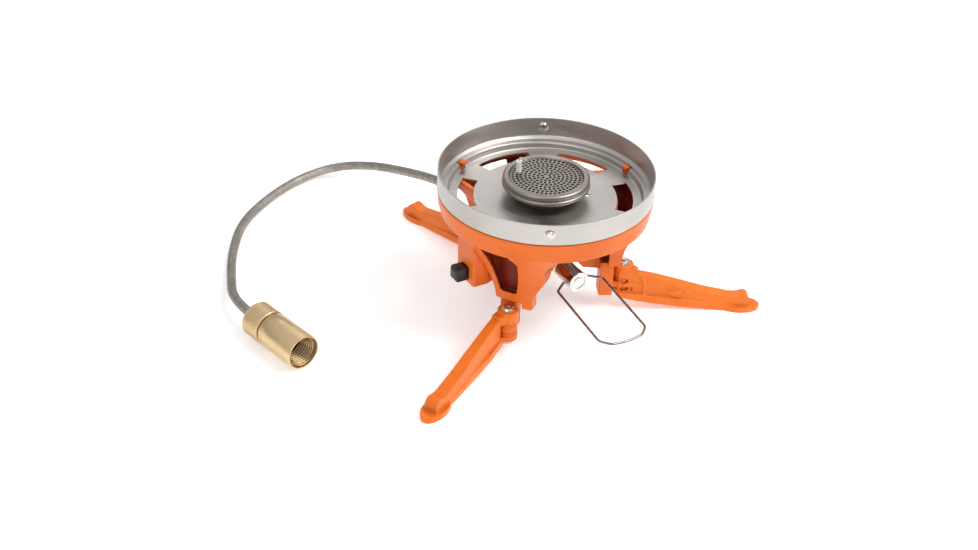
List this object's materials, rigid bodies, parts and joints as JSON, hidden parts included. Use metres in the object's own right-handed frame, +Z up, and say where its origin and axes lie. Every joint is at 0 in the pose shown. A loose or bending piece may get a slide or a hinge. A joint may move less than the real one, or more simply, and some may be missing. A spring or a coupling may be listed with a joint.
{
  "type": "remote canister stove",
  "caption": "Low camping burner with a steel pot ring, orange moulded base, fold-out legs, wire-handled valve knob and a braided gas hose with a brass screw coupling.",
  "frame": {"origin": "on the ground under the burner axis", "axes": "+Z up along the burner axis, the valve knob points along -Y, the igniter button points along -X"},
  "size_m": [0.2967, 0.2987, 0.1],
  "materials": {
    "steel_sheet": "spun stainless sheet, fine circular brushing",
    "burner_steel": "stainless, slightly heat-tinted",
    "bright_steel": "polished stainless",
    "hardware": "plated screws and rivets",
    "orange_plastic": "moulded glass-filled nylon, satin",
    "black_plastic": "moulded, matt",
    "bush_plastic": "acetal",
    "brass": "turned brass, satin",
    "alloy": "cast and machined",
    "rubber": "nitrile",
    "ceramic": "glazed white ceramic",
    "braid": "stainless braid over a rubber hose"
  },
  "bodies": {
    "stove": {"pot_ring": "steel_sheet", "ring_rivets": "hardware", "base_housing": "orange_plastic", "leg_screws": "hardware", "leg_bushes": "bush_plastic", "leg_nuts": "hardware", "mixing_tube": "burner_steel", "burner_nut": "alloy", "burner_cup": "burner_steel", "burner_plate": "burner_steel", "valve_body": "alloy", "jet": "brass", "spindle_seal": "rubber", "gland_nut": "brass", "igniter_cover": "orange_plastic", "igniter_module": "black_plastic", "button_spring": "hardware", "electrode_ceramic": "ceramic", "electrode_wire": "hardware", "igniter_lead": "rubber", "hose": "braid", "inlet_fitting": "brass", "inlet_ferrule": "hardware", "coupling_tail": "brass", "coupling_seal": "rubber"},
    "knob": {"valve_spindle": "bright_steel", "knob_core": "orange_plastic", "knob_sleeve": "bright_steel", "knob_disc": "bright_steel"},
    "bail": {"wire_bail": "bright_steel"},
    "button": {"igniter_button": "black_plastic"},
    "leg_left": {"leg_left": "orange_plastic"},
    "leg_right": {"leg_right": "orange_plastic"},
    "leg_rear": {"leg_rear": "orange_plastic"},
    "coupling": {"coupling_collar": "brass", "coupling_sleeve": "brass"}
  },
  "joints": [
    {"name": "leg_left_fold", "type": "hinge", "parent": "stove", "child": "leg_left", "pos_m": [-0.04118, -0.03059, 0.018], "axis": [0, 0, 1], "range_deg": [0, 140]},
    {"name": "leg_right_fold", "type": "hinge", "parent": "stove", "child": "leg_right", "pos_m": [0.04708, -0.02037, 0.018], "axis": [0, 0, 1], "range_deg": [0, 140]},
    {"name": "leg_rear_fold", "type": "hinge", "parent": "stove", "child": "leg_rear", "pos_m": [-0.0059, 0.05096, 0.018], "axis": [0, 0, 1], "range_deg": [-14, 126]},
    {"name": "knob_turn", "type": "hinge", "parent": "stove", "child": "knob", "pos_m": [0, -0.03, 0.0406], "axis": [0, 1, 0], "range_deg": [-900, 0]},
    {"name": "bail_fold", "type": "hinge", "parent": "knob", "child": "bail", "pos_m": [0, -0.038, 0.0406], "axis": [-1, 0, 0], "range_deg": [-34, 50]},
    {"name": "button_press", "type": "slide", "parent": "stove", "child": "button", "axis": [1, 0, 0], "range_m": [0, 0.003], "stiffness_N_per_m": 600, "deforming": ["button_spring"]},
    {"name": "coupling_swivel", "type": "hinge", "parent": "stove", "child": "coupling", "pos_m": [-0.1658, 0.0503, 0.01095], "axis": [0.231, -0.973, 0], "continuous": true}
  ]
}
